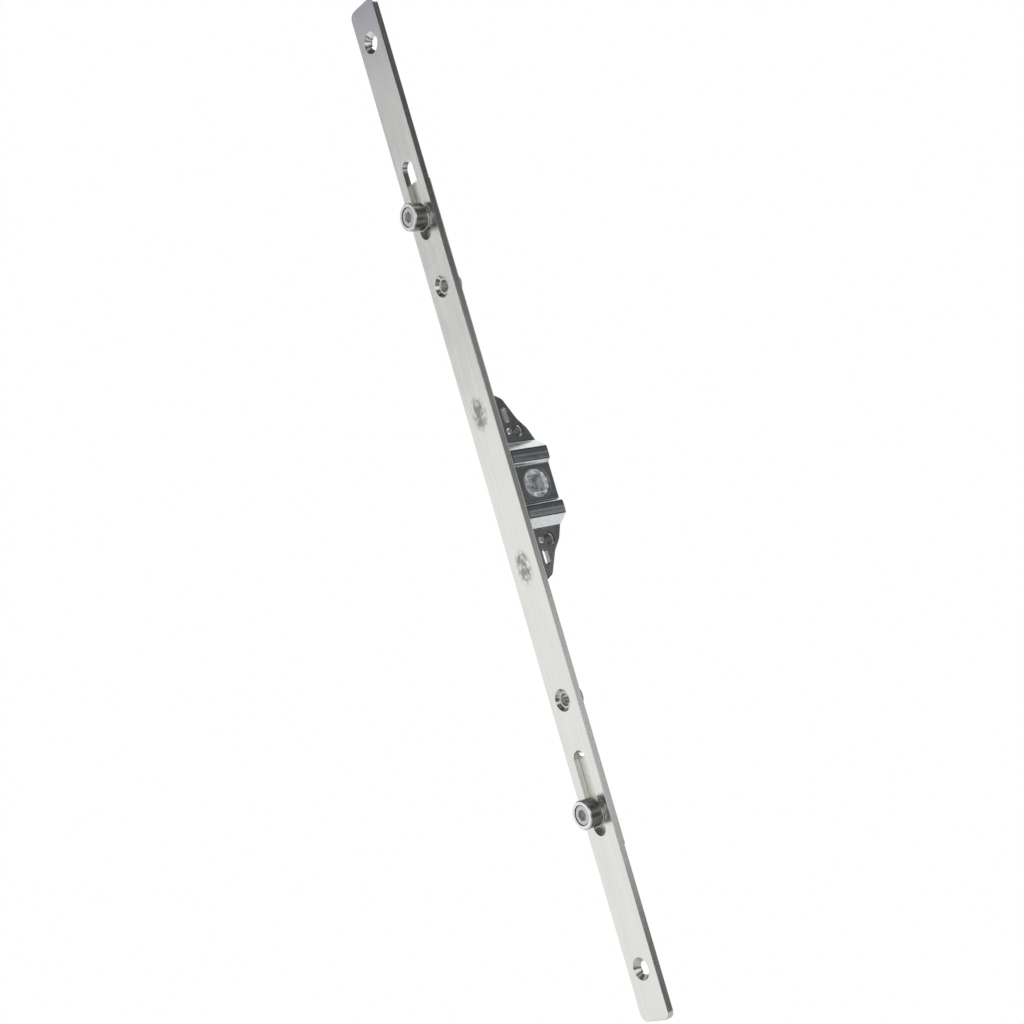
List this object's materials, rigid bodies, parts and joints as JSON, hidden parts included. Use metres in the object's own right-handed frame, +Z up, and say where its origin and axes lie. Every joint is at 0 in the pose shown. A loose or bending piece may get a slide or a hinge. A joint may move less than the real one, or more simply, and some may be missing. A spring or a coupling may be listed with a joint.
{
  "type": "espagnolette lock",
  "caption": "Sash espagnolette gear: long faceplate, sliding drive rail with roller cams in slots, and a pressed gear case with a square spindle follower",
  "frame": {"origin": "centre of the spindle follower, on the middle plane between the two case halves", "axes": "+Z runs up along the faceplate, +X points from the faceplate to the spindle (backset), -Y is the side of the case from which the handle's spindle enters"},
  "size_m": [0.0301, 0.016, 0.3966],
  "materials": {
    "faceplate_zinc": "satin zinc plate with a fine lengthwise grain",
    "case_steel": "zinc-plated pressed sheet with a low sheen",
    "rivet_steel": "bare steel",
    "spring_steel": "blued spring steel",
    "follower_zinc": "bare zinc casting",
    "rail_steel": "satin zinc plate",
    "bush_zinc": "zinc plate, dull",
    "guide_steel": "zinc plate",
    "stud_steel": "zinc plate",
    "roller_steel": "zinc plate, dull",
    "washer_steel": "zinc plate"
  },
  "bodies": {
    "lock_body": {"faceplate": "faceplate_zinc", "near_shell": "case_steel", "far_shell": "case_steel", "case_rivets": "rivet_steel", "detent_spring": "spring_steel", "upper_handle_bush": "bush_zinc", "lower_handle_bush": "bush_zinc", "upper_rail_guide": "guide_steel", "lower_rail_guide": "guide_steel"},
    "drive_rail": {"drive_rail": "rail_steel", "upper_stud_spring_washer": "spring_steel", "lower_stud_spring_washer": "spring_steel"},
    "follower": {"spindle_follower": "follower_zinc"},
    "upper_cam_stud": {"upper_cam_stud": "stud_steel", "upper_slide_washer": "washer_steel"},
    "upper_cam_roller": {"upper_cam_roller": "roller_steel"},
    "lower_cam_stud": {"lower_cam_stud": "stud_steel", "lower_slide_washer": "washer_steel"},
    "lower_cam_roller": {"lower_cam_roller": "roller_steel"}
  },
  "joints": [
    {"name": "rail_slide", "type": "slide", "parent": "lock_body", "child": "drive_rail", "axis": [0, 0, 1], "range_m": [0, 0.018]},
    {"name": "follower_turn", "type": "hinge", "parent": "lock_body", "child": "follower", "pos_m": [0, 0, 0], "axis": [0, 1, 0], "range_deg": [0, 90], "deforming": ["detent_spring"]},
    {"name": "upper_cam_adjust", "type": "hinge", "parent": "drive_rail", "child": "upper_cam_stud", "pos_m": [-0.0155, 0, 0.1084], "axis": [1, 0, 0], "continuous": true},
    {"name": "upper_roller_spin", "type": "hinge", "parent": "upper_cam_stud", "child": "upper_cam_roller", "pos_m": [-0.0185, 0, 0.1092], "axis": [1, 0, 0], "continuous": true},
    {"name": "lower_cam_adjust", "type": "hinge", "parent": "drive_rail", "child": "lower_cam_stud", "pos_m": [-0.0155, 0, -0.1236], "axis": [1, 0, 0], "continuous": true},
    {"name": "lower_roller_spin", "type": "hinge", "parent": "lower_cam_stud", "child": "lower_cam_roller", "pos_m": [-0.0185, 0, -0.1228], "axis": [1, 0, 0], "continuous": true}
  ],
  "couplings": [
    {"joint": "follower_turn", "follows": "rail_slide", "rad_per_m": 87.266}
  ]
}
